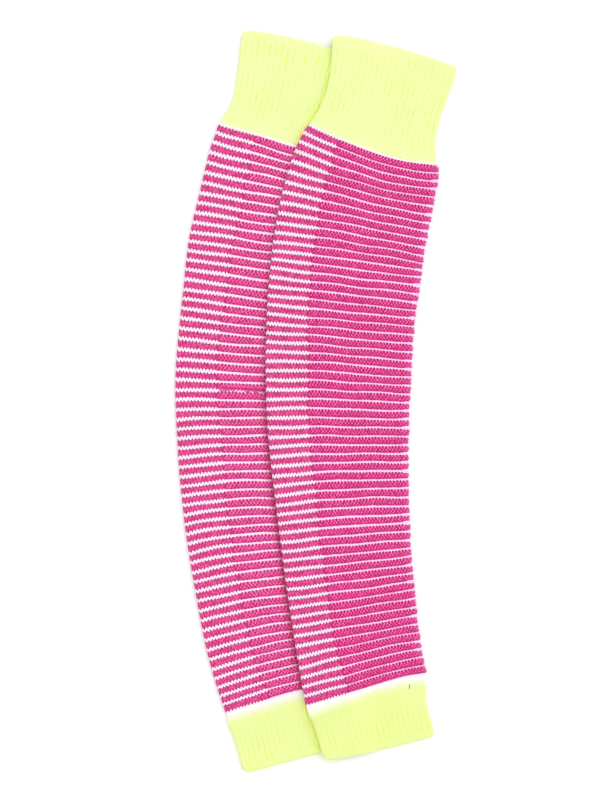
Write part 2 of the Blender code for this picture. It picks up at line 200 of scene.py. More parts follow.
def distanceOutside(outline, x, y):
    # 0 inside the outline
    nearest = np.full(x.shape, np.inf)
    inside = np.zeros(x.shape, bool)
    for (x0, y0), (x1, y1) in zip(outline, np.roll(outline, -1, axis=0)):
        edgeX, edgeY = x1 - x0, y1 - y0
        along = np.clip(((x - x0) * edgeX + (y - y0) * edgeY) / (edgeX**2 + edgeY**2), 0, 1)
        nearest = np.minimum(nearest, np.hypot(x - x0 - edgeX * along, y - y0 - edgeY * along))
        if y0 != y1:
            crosses = ((y0 > y) != (y1 > y)) & (x0 + edgeX * (y - y0) / edgeY > x)
            inside ^= crosses
    return np.where(inside, 0.0, nearest)


def liftAt(leg, x, y):
    # the right leg lies on the left one and sinks to the surface beside it
    if leg == "left":
        return np.zeros(x.shape)
    height = 2.0 * knit["foldRadius"] + knit["weltHeight"] + knit["restClearance"]
    past = distanceOutside(outlineOf("left"), x, y) - knit["overhang"]
    return height * (1.0 - smoothstep(past / knit["sinkLength"]))


def halfRound(section):
    # over the top layer from the left fold's tip to the right fold's
    inset, radius = knit["foldInset"], knit["foldRadius"]
    return section["width"] - 2.0 * (inset + radius) + math.pi * radius


def aroundAt(leg, section, wales, even):
    # how far round the leg a wale lies, in mm from the left fold's tip over the top layer.
    # even: all the wales are as wide, as in the cuffs and bands
    pitches, plainWidth = legShape[leg], section["turn"] * section["width"]
    half = halfRound(section)
    if even:
        return wales / (knit["wales"] / 2) * half
    boundary = knit["boundaryWale"]
    leftTip = boundary - plainWidth / pitches["plainPitch"]
    rightTip = boundary + (section["width"] - plainWidth) / pitches["weltPitch"]
    turnAround = plainWidth - knit["foldInset"] + (math.pi / 2 - 1.0) * knit["foldRadius"]
    underPitch = half / (leftTip + knit["wales"] - rightTip)
    pastLeft, pastRight = wales - leftTip, wales - rightTip
    plain = pastLeft * turnAround / (boundary - leftTip)
    welted = turnAround + (wales - boundary) * (half - turnAround) / (rightTip - boundary)
    onTop = np.where(wales < boundary, plain, welted)
    under = np.where(pastLeft < 0, pastLeft * underPitch, half + pastRight * underPitch)
    return np.where((pastLeft < 0) | (pastRight > 0), under, onTop)


def fromOpenEnd(leg, section, openRow):
    end = sectionsAt(leg, np.array([openRow]))
    return np.hypot(section["x"] - end["x"][0], section["y"] - end["y"][0])


def legPoints(leg, rows, wales, rise, slide, depth, even=False):
    # rise: of the surface along its normal, none underneath. depth: how far it is tucked inside
    section = sectionsAt(leg, rows)
    around = aroundAt(leg, section, wales, even)
    inset, radius = knit["foldInset"], knit["foldRadius"]
    width = section["width"] - 2.0 * inset
    quarter = math.pi / 2 * radius
    half = width - 2.0 * radius + 2.0 * quarter
    below = (around < 0) | (around > half)
    over = np.where(around > half, 2.0 * half - around, np.abs(around))
    atLeft, atRight = over < quarter, over > half - quarter
    angle = np.where(atLeft, over / radius, np.where(atRight, (half - over) / radius, math.pi / 2))
    side = np.where(atLeft, -1.0, np.where(atRight, 1.0, 0.0))
    fade = np.where(below, np.cos(angle) ** 3, 1.0)
    reach = radius - depth + rise * fade
    base = np.where(atLeft, radius, np.where(atRight, width - radius, radius + over - quarter))
    distance = inset + base + reach * side * np.cos(angle)
    height = reach * np.sin(angle) * np.where(below, -1.0, 1.0)
    for openRow, inward in zip(knit["openRows"], (1.0, -1.0)):
        toEnd = fromOpenEnd(leg, section, openRow) + inward * slide
        cut = np.clip(1.0 - toEnd / knit["ribStart"], 0, 1)
        for toFold, corner in zip((distance, section["width"] - distance), knit["corners"]):
            short = corner - np.clip(toFold, 0, corner)
            slide = slide + inward * cut * (corner - np.sqrt(corner**2 - short**2))
    x, y = planPoint(section, distance, slide)
    z = radius + height + liftAt(leg, x, y)
    return np.stack((x, y, z), axis=-1) * millimetre


def nearRightLeg(leg, points, reach):
    # where the right leg's painted shadow falls: 1 on the left leg's upper side where the right leg lies on
    # it, less beside that
    if leg == "right":
        return np.zeros(len(points))
    x, y, z = (points / millimetre).T
    near = np.clip(1.0 - distanceOutside(outlineOf("right"), x, y) / reach, 0, 1)
    return near**1.5 * (z > knit["foldRadius"])


def columnsRound(first, last):
    # the wales that have a column: fine from the first to the last, coarse underneath
    start, coarse = knit["seamWale"], knit["coarseColumns"]
    return np.concatenate((
        np.linspace(start, first, coarse + 1)[:-1],
        np.arange(first, last, 1 / knit["columnsPerWale"]),
        np.linspace(last, start + knit["wales"], coarse + 1),
    ))


def flatKnit(name, columns, lines):
    # a flat cloth as it comes off the machine: a column for each place round, a line for each along
    bpy.ops.object.select_all(action="DESELECT")
    bpy.ops.mesh.primitive_grid_add(
        x_subdivisions=len(columns) - 1, y_subdivisions=len(lines) - 1, size=2
    )
    piece = bpy.context.object
    piece.name = piece.data.name = name
    flat = np.empty(len(piece.data.vertices) * 3)
    piece.data.vertices.foreach_get("co", flat)
    flat = flat.reshape(-1, 3)
    across = np.rint((flat[:, 0] + 1) / 2 * (len(columns) - 1)).astype(int)
    along = np.rint((1 - flat[:, 1]) / 2 * (len(lines) - 1)).astype(int)
    return piece, across, along


def addAttribute(piece, name, values):
    attribute = piece.data.attributes.new(name, "FLOAT", "POINT")
    attribute.data.foreach_set("value", values.astype(np.float32))


def closeRound(piece, points, rows, wales):
    # wraps the flat cloth on its leg, joins its two long edges and smooths it
    u = (wales - knit["seamWale"]) / knit["wales"]
    v = (rows - rows.min()) / (rows.max() - rows.min())
    corners = np.empty(len(piece.data.loops), int)
    piece.data.loops.foreach_get("vertex_index", corners)
    uv = np.stack((u[corners], v[corners]), axis=1)
    piece.data.uv_layers.active.data.foreach_set("uv", uv.astype(np.float32).ravel())
    piece.data.vertices.foreach_set("co", points.astype(np.float32).ravel())
    piece.data.update()
    bpy.ops.object.mode_set(mode="EDIT")
    bpy.ops.mesh.select_all(action="SELECT")
    bpy.ops.mesh.remove_doubles(threshold=0.00002)
    bpy.ops.mesh.normals_make_consistent(inside=False)
    bpy.ops.object.mode_set(mode="OBJECT")
    bpy.ops.object.shade_smooth()


def finishCloth(piece, leg, node, material):
    # gives the piece its finish, hangs it from the root body, and hides the part that it stands in for
    piece.data.materials.append(material)
    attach(piece, "root")
    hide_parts(f"{leg}_{node}")
    print(piece.name, "has", len(piece.data.polygons), "faces")


def colour(red, green, blue):
    # from the 0-255 values of a colour picker
    values = []
    for value in (red, green, blue):
        value /= 255.0
        values.append(value / 12.92 if value < 0.04045 else ((value + 0.055) / 1.055) ** 2.4)
    return (*values, 1.0)


def put(tree, kind, values=(), **settings):
    # a new node, with each value set on its socket, or linked to it
    node = tree.nodes.new(kind)
    for name, value in settings.items():
        setattr(node, name, value)
    named = values.items() if isinstance(values, dict) else enumerate(values)
    for socket, value in named:
        if isinstance(value, bpy.types.NodeSocket):
            tree.links.new(value, node.inputs[socket])
        else:
            node.inputs[socket].default_value = value
    return node


def calc(tree, operation, *values):
    return put(tree, "ShaderNodeMath", values, operation=operation).outputs[0]


def times(tree, *values):
    product = values[0]
    for value in values[1:]:
        product = calc(tree, "MULTIPLY", product, value)
    return product


def highest(tree, *values):
    most = values[0]
    for value in values[1:]:
        most = calc(tree, "MAXIMUM", most, value)
    return most


def wave(tree, value, turns=1.0):
    # a cosine that turns this often as the value grows by 1
    return calc(tree, "COSINE", calc(tree, "MULTIPLY", value, 2 * math.pi * turns))


def ramp(tree, value, low, high, start=0.0, end=1.0):
    # smoothly from start, where the value is low, to end
    values = (value, low, high, start, end)
    return put(tree, "ShaderNodeMapRange", values, interpolation_type="SMOOTHSTEP").outputs[0]


def readAttribute(tree, name):
    return put(tree, "ShaderNodeAttribute", attribute_name=name).outputs["Fac"]


def objectPlace(tree):
    return put(tree, "ShaderNodeTexCoord").outputs["Object"]


def noise(tree, where, scale, detail=1.0):
    values = {"Vector": where, "Scale": scale, "Detail": detail}
    return put(tree, "ShaderNodeTexNoise", values).outputs["Fac"]


def threeNoises(tree, where, scale):
    mixed = put(tree, "ShaderNodeTexNoise", {"Vector": where, "Scale": scale, "Detail": 1.0})
    return put(tree, "ShaderNodeSeparateColor", (mixed.outputs["Color"],)).outputs


def blendColour(tree, factor, first, second, how="MIX"):
    node = tree.nodes.new("ShaderNodeMix")
    node.data_type, node.blend_type = "RGBA", how
    for index, value in ((0, factor), (6, first), (7, second)):
        if isinstance(value, bpy.types.NodeSocket):
            tree.links.new(value, node.inputs[index])
        else:
            node.inputs[index].default_value = value
    return node.outputs[2]


def newGroup(name, inputs, outputs):
    tree = bpy.data.node_groups.new(name, "ShaderNodeTree")
    for label, kind in inputs:
        tree.interface.new_socket(name=label, in_out="INPUT", socket_type=kind)
    for label, kind in outputs:
        tree.interface.new_socket(name=label, in_out="OUTPUT", socket_type=kind)
    return tree, tree.nodes.new("NodeGroupInput").outputs, tree.nodes.new("NodeGroupOutput").inputs


def makeKnitCount():
    # turns the UV map into wales round the leg and rows along it
    inputs = (("First Row", "NodeSocketFloat"), ("Last Row", "NodeSocketFloat"))
    outputs = (("Wale", "NodeSocketFloat"), ("Row", "NodeSocketFloat"))
    tree, given, result = newGroup("knitCount", inputs, outputs)
    place = put(tree, "ShaderNodeSeparateXYZ", (put(tree, "ShaderNodeUVMap").outputs[0],)).outputs
    span = calc(tree, "SUBTRACT", given["Last Row"], given["First Row"])
    wale = calc(tree, "MULTIPLY_ADD", place[0], float(knit["wales"]), float(knit["seamWale"]))
    row = calc(tree, "MULTIPLY_ADD", place[1], span, given["First Row"])
    tree.links.new(wale, result["Wale"])
    tree.links.new(row, result["Row"])
    return tree


yarnLook = {
    "broad": (38.0, 3.0),  # these three are noise: scale, and detail
    "speckle": (900.0, 2.0),
    "fuzz": (4200.0, 2.0),
    "plies": (3.0, 4.0),  # in a wale, and in a course
    "shares": (0.45, 0.55),  # of the broad noise and the speckle, and of the plies and the fuzz
    "shade": 0.16,
    "roughness": (0.95, 0.8),  # between the plies, and on them
    "relief": 0.00012,  # m
}


def makeYarn():
    # spun yarn: a soft change of shade, plies that cross it, and loose fuzz
    inputs = (("Wale", "NodeSocketFloat"), ("Course", "NodeSocketFloat"))
    outputs = (("Shade", "NodeSocketFloat"), ("Height", "NodeSocketFloat"))
    tree, given, result = newGroup("spunYarn", inputs, outputs)
    where = objectPlace(tree)
    broad, speckle, fuzz = (noise(tree, where, *yarnLook[name]) for name in ("broad", "speckle", "fuzz"))
    inWale, inCourse = yarnLook["plies"]
    courses = calc(tree, "MULTIPLY", given["Course"], inCourse)
    slant = calc(tree, "MULTIPLY_ADD", given["Wale"], inWale, courses)
    plies = calc(tree, "ABSOLUTE", calc(tree, "SINE", calc(tree, "MULTIPLY", slant, math.pi)))
    coarse, fine = yarnLook["shares"]
    shade = calc(tree, "MULTIPLY_ADD", broad, coarse, calc(tree, "MULTIPLY", speckle, fine))
    height = calc(tree, "MULTIPLY_ADD", plies, coarse, calc(tree, "MULTIPLY", fuzz, fine))
    tree.links.new(shade, result["Shade"])
    tree.links.new(height, result["Height"])
    return tree


def makeStitches():
    # plain stitches: two slanting legs for each wale, with a hole between them at each course
    inputs = (("Wale", "NodeSocketFloat"), ("Course", "NodeSocketFloat"))
    outputs = (("Height", "NodeSocketFloat"), ("Gap", "NodeSocketFloat"))
    tree, given, result = newGroup("plainStitches", inputs, outputs)
    turns = calc(tree, "MULTIPLY", given["Wale"], 2 * math.pi)
    legs = calc(tree, "ABSOLUTE", calc(tree, "SINE", turns))
    lean = calc(tree, "MULTIPLY_ADD", calc(tree, "COSINE", turns), 0.25, given["Course"])
    bead = calc(tree, "ABSOLUTE", calc(tree, "SINE", calc(tree, "MULTIPLY", lean, math.pi)))
    height = times(tree, calc(tree, "POWER", legs, 0.7), calc(tree, "MULTIPLY_ADD", bead, 0.6, 0.4))
    gap = times(tree, ramp(tree, legs, 0.0, 0.7, 1.0, 0.0), ramp(tree, bead, 0.0, 0.8, 1.0, 0.0))
    tree.links.new(height, result["Height"])
    tree.links.new(gap, result["Gap"])
    return tree


fibreLook = {
    "ends": ((0.0793, -0.2402), (0.0789, -0.2448)),  # m
    "halfWidth": (0.0002, 0.0005),  # m, where it starts to fade, and is gone
    "strength": 0.85,
    "colour": (0.07, 0.06, 0.025, 1.0),
}


def makeCaughtFibre():
    # a short dark fibre caught in the lower end of one leg
    tree, _, result = newGroup("caughtFibre", (), (("Mask", "NodeSocketFloat"),))
    (x0, y0), (x1, y1) = fibreLook["ends"]
    place = put(tree, "ShaderNodeSeparateXYZ", (objectPlace(tree),)).outputs
    along = calc(tree, "DIVIDE", calc(tree, "SUBTRACT", place[1], y0), y1 - y0)
    middle = calc(tree, "MULTIPLY_ADD", along, x1 - x0, x0)
    across = calc(tree, "ABSOLUTE", calc(tree, "SUBTRACT", place[0], middle))
    inLength = ramp(tree, calc(tree, "ABSOLUTE", calc(tree, "SUBTRACT", along, 0.5)), 0.3, 0.55, 1.0, 0.0)
    inWidth = ramp(tree, across, *fibreLook["halfWidth"], 1.0, 0.0)
    onTop = calc(tree, "GREATER_THAN", place[2], knit["foldRadius"] * millimetre)
    mask = times(tree, inWidth, inLength, onTop, fibreLook["strength"])
    tree.links.new(mask, result["Mask"])
    return tree


knitCount = makeKnitCount()
spunYarn = makeYarn()
plainStitches = makeStitches()
caughtFibre = makeCaughtFibre()


def newMaterial(name, sheen):
    material = bpy.data.materials.new(name)
    material.use_nodes = True
    shader = material.node_tree.nodes["Principled BSDF"]
    shader.inputs["Specular IOR Level"].default_value = 0.2
    shader.inputs["Sheen Weight"].default_value = sheen
    shader.inputs["Sheen Roughness"].default_value = 0.5
    return material, material.node_tree, shader


def useGroup(tree, group, **values):
    node = tree.nodes.new("ShaderNodeGroup")
    node.node_tree = group
    for name, value in values.items():
        socket = node.inputs[name.replace("_", " ")]
        if isinstance(value, bpy.types.NodeSocket):
            tree.links.new(value, socket)
        else:
            socket.default_value = value
    return node.outputs


def finishMaterial(tree, shader, base, yarn, stitchHeight, stitchSize):
    # the same last steps for each finish: a little change of shade, and the yarn's relief
    shade = ramp(tree, yarn["Shade"], 0.35, 0.65, 0.0, yarnLook["shade"])
    shaded = blendColour(tree, shade, base, (0, 0, 0, 1), "SOFT_LIGHT")
    tree.links.new(shaded, shader.inputs["Base Color"])
    roughness = ramp(tree, yarn["Height"], 0.2, 0.8, *yarnLook["roughness"])
    tree.links.new(roughness, shader.inputs["Roughness"])
    values = {"Strength": 1.0, "Distance": stitchSize, "Height": stitchHeight}
    stitches = put(tree, "ShaderNodeBump", values).outputs[0]
    values = {"Strength": 0.6, "Distance": yarnLook["relief"], "Height": yarn["Height"], "Normal": stitches}
    tree.links.new(put(tree, "ShaderNodeBump", values).outputs[0], shader.inputs["Normal"])


tubeLook = {
    "stripes": 61,
    "lines": (0.05, 0.16, 0.27, 0.51, 0.75, 0.95),  # the mesh's, as shares of a stripe
    # rows above the first stripe and past the last one, and mm that each is tucked in
    "upperTuck": ((-0.62, 1.3), (-0.42, 0.7), (-0.3, 0.15), (-0.15, 0.0)),
    "lowerTuck": ((0.0, 0.0), (0.1, 0.1), (0.15, 0.8)),
    "fineWales": (-5.0, 51.0),  # with a column for each stitch leg
    "lastWelt": 54,  # the wale on the underside where the cloth is plain again
    "weltStart": 0.3,  # rows above the first stripe in which the welts rise
    "crown": 0.9,  # share of a stripe that a welt takes up
    "plainRise": 0.4,
    "stitchHeight": 0.2,
    "purlHeight": 0.26,
    "chevron": 0.02,  # rows by which a plain stitch's point and legs differ
    "tick": 0.11,  # rows that a stitch's narrow tip reaches into a white line
    "lastTick": 0.6,  # share of that by which it reaches further into the last one
    "ragged": 0.8,  # mm by which the welts stick out at the right fold, times chance
    "raggedChance": (-0.6, 1.0),
    "foldReach": 8.0,  # mm from the right fold
    "foldFlatter": 0.2,  # share of the welts' height that is pulled flat at that fold
    "jag": 0.45,  # wales by which the welts' ends differ
    "fault": (27, 14.5, 29.0),  # row of the white line, and between which wales
    "unevenSlide": (0.45, 6.0),  # mm, and the rows that it takes to change
    "unevenRise": (0.12, 9.0),
    "flat": (0.236, 0.465),
    "whitePlain": 0.205,  # half a white line, in rows
    "whiteWelt": 0.092,
    "whiteUneven": 0.03,  # how much the lines in the welts differ
    "whiteAtFold": 0.055,  # what they gain at the right fold, more or less
    "whiteLoose": 0.022,  # and on the loosely knitted leg
    "whiteShift": 0.02,  # rows that they lie higher on the other leg
    "weltGain": {  # row, and what the lines in the welts gain there
        "left": ((14.0, 0.0), (42.0, 0.0), (55.0, -0.025)),
        "right": ((4.0, -0.012), (14.0, 0.0), (28.0, 0.0), (42.0, 0.02), (55.0, -0.02)),
    },
    "plainGain": ((36.0, 0.0), (50.0, -0.02)),  # and what those in the plain knit do
    "paintedLegShadeReach": 7.5,  # mm from the right leg, where a painted shadow darkens the left one
    "paintedLegShadeRows": (8.0, 36.0),  # where that starts and is full
    "firstPink": 0.1,  # the rows where the first and the last pink stripe's outer edges lie
    "lastPink": 60.96,
    "darkRows": ((-0.12, -0.08), (61.08, 61.14)),  # where the darkest painted shade, in the dips and at the tips, starts and stops
    "coursesPerRow": 5.0,
    "purlFirst": 0.29,  # of a row, where the first of the three rows of purls dips
    "purlStep": 0.24,
    "waleDrift": 0.5,  # how unevenly the stitches lie, in wales and rows
    "rowDrift": 0.09,
    "driftScale": 260.0,
    "leanScale": 480.0,
    "mottleScale": 800.0,
    "stitchRelief": 0.0003,  # m
    "pink": colour(247, 94, 169),
    "pinkShade": colour(193, 48, 118),
    "pinkInWelts": colour(218, 57, 142),
    "pinkLoose": colour(240, 110, 172),
    "pinkPaintedHighlight": colour(255, 126, 186),
    "pinkPaintedLightAtFold": colour(222, 92, 158),
    "pinkPaintedShade": colour(172, 14, 92),
    "pinkDarkestShade": colour(98, 6, 58),
    "paintedLegShadeColour": colour(166, 4, 72),
    "white": colour(250, 234, 246),
    "whiteShadedInWelts": colour(255, 217, 242),
    "whiteShadedInLooseWelts": colour(255, 229, 243),
    "whiteShade": colour(226, 196, 216),
    "cream": colour(249, 250, 222),
}


def inWelts(wales, stripe, seed):
    # 1 where the cloth is welted, 0 where it is plain, with a jagged line between the two
    chance = np.random.default_rng(seed)
    ends = chance.uniform(-tubeLook["jag"], tubeLook["jag"], tubeLook["stripes"] + 4)
    offset = ends[np.clip(stripe + 1, 0, len(ends) - 1).astype(int)]
    plainBelow = knit["wales"] - tubeLook["lastWelt"]
    wales = np.mod(wales + plainBelow, knit["wales"]) - plainBelow
    first = knit["boundaryWale"] + offset
    return smoothstep((wales - first) + 0.5)


def faultAt(leg, rows, wales):
    # 1 where a white line of the left leg is knitted wrong
    if leg == "right":
        return np.zeros(rows.shape)
    row, first, last = tubeLook["fault"]
    along = smoothstep((wales - first) + 0.5) * smoothstep((last - wales) + 0.5)
    return along * (np.abs(rows - row) < 0.5)


def nearRightFold(leg, rows, wales):
    section = sectionsAt(leg, rows)
    fromFold = np.abs(aroundAt(leg, section, wales, False) - halfRound(section))
    return 1.0 - smoothstep(fromFold / tubeLook["foldReach"])


def makeTube(leg, material, seed):
    look = tubeLook
    stripes = look["stripes"]
    lines = list(look["upperTuck"])
    lines += [(stripe + part, 0.0) for stripe in range(stripes) for part in look["lines"]]
    lines += [(stripes + past, dip) for past, dip in look["lowerTuck"]]
    lineRows, lineDips = np.array(lines).T
    columns = columnsRound(*look["fineWales"])
    piece, across, along = flatKnit(leg + "_tube_knit", columns, lineRows)
    rows, wales, dips = lineRows[along], columns[across], lineDips[along]
    part = rows - np.floor(rows + 1e-6)
    onStripes = (rows >= 0) & (rows <= stripes)
    rising = np.clip((rows + look["weltStart"]) / look["weltStart"], 0, 1)
    welt = inWelts(wales, np.floor(rows + 0.5), seed) * rising

    fromPurl = np.clip(part - look["purlFirst"], 0, 1)
    bead = np.cos(2 * math.pi * wales) * np.cos(math.pi * fromPurl / look["purlStep"])
    crown = 1.0 - np.clip(np.abs(2.0 * part - 1.0) / look["crown"], 0, 1) ** 3
    welted = knit["weltHeight"] * crown - look["purlHeight"] * bead * np.sqrt(np.clip(crown, 0, 1))
    welted = np.where(onStripes, welted, 0.0)
    betweenLegs = np.cos(4 * math.pi * wales)  # 1 between a stitch's two legs, -1 on them
    plain = look["plainRise"] - look["stitchHeight"] * betweenLegs
    most, rowLength = look["unevenRise"]
    uneven = most * softWaves(seed + 1, rowLength, rows, wales)
    fold = nearRightFold(leg, rows, wales)
    sticksOut = np.random.default_rng(seed + 4).uniform(*look["raggedChance"], len(lineRows))[along]
    uneven = uneven + look["ragged"] * sticksOut * onStripes * fold**3
    rise = plain + (welted * (1.0 - look["foldFlatter"] * fold) - plain) * welt + uneven

    most, rowLength = look["unevenSlide"]
    slide = most * softWaves(seed + 2, rowLength, rows, wales)
    points = legPoints(leg, rows, wales, rise, slide, dips)
    addAttribute(piece, "welt", welt)
    addAttribute(piece, "fold", fold)
    addAttribute(piece, "fault", faultAt(leg, rows, wales))
    addAttribute(piece, "loose", np.full(rows.shape, float(leg == "left")))
    weltGain = np.interp(rows, *np.array(look["weltGain"][leg]).T)
    plainGain = np.interp(rows, *np.array(look["plainGain"]).T)
    addAttribute(piece, "gain", plainGain + (weltGain - plainGain) * welt)
    # the mask of the right leg's painted shadow on the left one
    first, full = look["paintedLegShadeRows"]
    paintedLegShade = nearRightLeg(leg, points, look["paintedLegShadeReach"]) * np.clip((rows - first) / (full - first), 0, 1)
    addAttribute(piece, "paintedLegShade", paintedLegShade)
    closeRound(piece, points, rows, wales)
    finishCloth(piece, leg, "striped_tube", material)


def makeStripedMaterial():
    look = tubeLook
    material, tree, shader = newMaterial("pinkAndWhiteKnit", 0.15)
    first, last = look["upperTuck"][0][0], look["stripes"] + look["lowerTuck"][-1][0]
    count = useGroup(tree, knitCount, First_Row=first, Last_Row=last)
    names = ("welt", "fault", "fold", "loose", "gain", "paintedLegShade")
    welt, fault, fold, loose, gain, paintedLegShade = (readAttribute(tree, name) for name in names)
    plain = calc(tree, "SUBTRACT", 1.0, welt)

    # no stitch lies quite in its place
    where = objectPlace(tree)
    chances = threeNoises(tree, where, look["driftScale"])
    drifts = [calc(tree, "SUBTRACT", chances[i], 0.5) for i in range(3)]
    wale = calc(tree, "MULTIPLY_ADD", drifts[0], look["waleDrift"], count["Wale"])
    row = calc(tree, "MULTIPLY_ADD", drifts[1], look["rowDrift"], count["Row"])
    shift = calc(tree, "MULTIPLY_ADD", loose, -look["whiteShift"], look["whiteShift"])
    evenRow = calc(tree, "ADD", row, shift)
    waleWave = wave(tree, wale)
    fromHalf = calc(tree, "ABSOLUTE", calc(tree, "SUBTRACT", calc(tree, "FRACT", wale), 0.5))
    zigzag = calc(tree, "MULTIPLY_ADD", fromHalf, 4.0, -1.0)
    reach = calc(tree, "MULTIPLY_ADD", plain, look["chevron"], calc(tree, "MULTIPLY", fault, 0.1))
    row = calc(tree, "MULTIPLY_ADD", zigzag, reach, evenRow)
    course = calc(tree, "MULTIPLY", row, look["coursesPerRow"])
    yarn = useGroup(tree, spunYarn, Wale=wale, Course=course)
    stitch = useGroup(tree, plainStitches, Wale=wale, Course=course)
    uneven = calc(tree, "MULTIPLY_ADD", drifts[2], 3.2, 1.0)

    # how far a place is from the middle of a white line: more than 0 is towards the lower cuff
    isFirst = calc(tree, "LESS_THAN", row, 0.5)
    isLast = calc(tree, "GREATER_THAN", row, look["stripes"] - 0.5)
    fromFirst = calc(tree, "SUBTRACT", row, look["firstPink"] - look["whitePlain"])
    wider = look["whitePlain"] - look["whiteWelt"]
    edgeToMiddle = calc(tree, "MULTIPLY_ADD", plain, wider, look["whiteWelt"])
    fromLast = calc(tree, "SUBTRACT", calc(tree, "SUBTRACT", row, look["lastPink"]), edgeToMiddle)
    between = calc(tree, "SUBTRACT", calc(tree, "FRACT", calc(tree, "ADD", row, 0.5)), 0.5)
    between = times(tree, between, calc(tree, "SUBTRACT", 1.0, calc(tree, "ADD", isFirst, isLast)))
    signed = calc(tree, "MULTIPLY_ADD", isFirst, calc(tree, "MAXIMUM", fromFirst, 0.0), between)
    signed = calc(tree, "MULTIPLY_ADD", isLast, calc(tree, "MINIMUM", fromLast, 0.0), signed)
    fromLine = calc(tree, "ABSOLUTE", signed)

    # white lines, wide in the plain knit, thin between the welts, and broken at the fault
    tip = ramp(tree, times(tree, waleWave, calc(tree, "SIGN", signed)), 0.25, 1.0)
    reachIn = calc(tree, "MULTIPLY_ADD", isLast, -look["lastTick"] * look["tick"], -look["tick"])
    inPlain = calc(tree, "MULTIPLY_ADD", tip, reachIn, look["whitePlain"])
    scallop = times(tree, waleWave, ramp(tree, signed, -0.02, 0.02), -0.03)
    scallop = calc(tree, "MULTIPLY_ADD", drifts[2], 0.06, scallop)
    lineNumber = {"W": calc(tree, "ROUND", evenRow)}
    lineChance = put(tree, "ShaderNodeTexWhiteNoise", lineNumber, noise_dimensions="1D").outputs["Value"]
    narrowest = look["whiteWelt"] - look["whiteUneven"] / 2
    inWelt = calc(tree, "MULTIPLY_ADD", lineChance, look["whiteUneven"], narrowest)
    atFold = times(tree, ramp(tree, fold, 0.0, 0.45), lineChance, 2.0 * look["whiteAtFold"])
    inWelt = calc(tree, "ADD", inWelt, atFold)
    inWelt = calc(tree, "ADD", scallop, calc(tree, "MULTIPLY_ADD", loose, look["whiteLoose"], inWelt))
    dash = ramp(tree, drifts[2], -0.12, 0.1, -0.05, 0.09)
    inWelt = calc(tree, "MULTIPLY_ADD", fault, calc(tree, "SUBTRACT", dash, inWelt), inWelt)
    halfWhite = calc(tree, "MULTIPLY_ADD", plain, calc(tree, "SUBTRACT", inPlain, inWelt), inWelt)
    halfWhite = calc(tree, "ADD", halfWhite, gain)
    white = ramp(tree, calc(tree, "SUBTRACT", fromLine, halfWhite), -0.04, 0.04, 1.0, 0.0)

    # painted shade in the purls' dips, three rows of them on a welt, darkest under the white line, that
    # lean in places; painted highlights on the arcs between them, and painted shade on each welt's lower
    # slope
    part = calc(tree, "FRACT", row)
    fromPurl = calc(tree, "MAXIMUM", calc(tree, "SUBTRACT", part, look["purlFirst"]), 0.0)
    step = calc(tree, "MULTIPLY", fromPurl, 0.5 / look["purlStep"])
    leftward, rightward = (wave(tree, calc(tree, way, wale, step)) for way in ("ADD", "SUBTRACT"))
    chances = threeNoises(tree, where, look["leanScale"])
    lean = ramp(tree, chances[0], 0.38, 0.62, 0.22, 0.78)
    lattice = calc(tree, "MULTIPLY_ADD", lean, calc(tree, "SUBTRACT", leftward, rightward), rightward)
    lattice = calc(tree, "MULTIPLY_ADD", calc(tree, "SUBTRACT", chances[1], 0.5), 1.8, lattice)
    unevenDip = calc(tree, "MULTIPLY_ADD", drifts[2], 2.0, 1.0)
    lessAtFold = ramp(tree, fold, 0.3, 1.0, 1.0, 0.4)
    dipShadeAt = times(tree, ramp(tree, lattice, 0.05, 0.85), unevenDip, welt, lessAtFold)
    dips = calc(tree, "MINIMUM", times(tree, dipShadeAt, ramp(tree, part, 0.3, 0.44, 0.8, 0.16)), 0.75)
    deepDipShade = times(tree, dipShadeAt, ramp(tree, part, 0.3, 0.42, 0.0, 1.1))
    unevenArc = calc(tree, "MULTIPLY_ADD", drifts[2], 1.2, 0.8)
    arcHighlights = times(tree, ramp(tree, lattice, -0.25, -0.9), welt, unevenArc)
    lower = times(tree, ramp(tree, part, 0.62, 0.76, 0.0, 0.4), ramp(tree, part, 0.82, 0.92, 1.0, 0.0))
    lower = times(tree, lower, welt)

    # painted shade: narrow dark tips along both edges of a white line in the plain knit, and in the gaps
    # between the stitches
    pastTip = calc(tree, "SUBTRACT", fromLine, look["whitePlain"] - look["tick"])
    tipShade = times(tree, ramp(tree, pastTip, -0.01, 0.03), ramp(tree, pastTip, 0.1, 0.18, 1.0, 0.0))
    tipShade = times(tree, tip, tipShade, plain, uneven)
    gapShade = times(tree, stitch["Gap"], uneven, plain, 0.7)

    # the welts' ends stand in their own shade
    atEnd = times(tree, ramp(tree, welt, 0.05, 0.4), ramp(tree, welt, 0.6, 0.95, 1.0, 0.0))
    corner = times(tree, ramp(tree, fromLine, 0.1, 0.2), atEnd, 0.75)
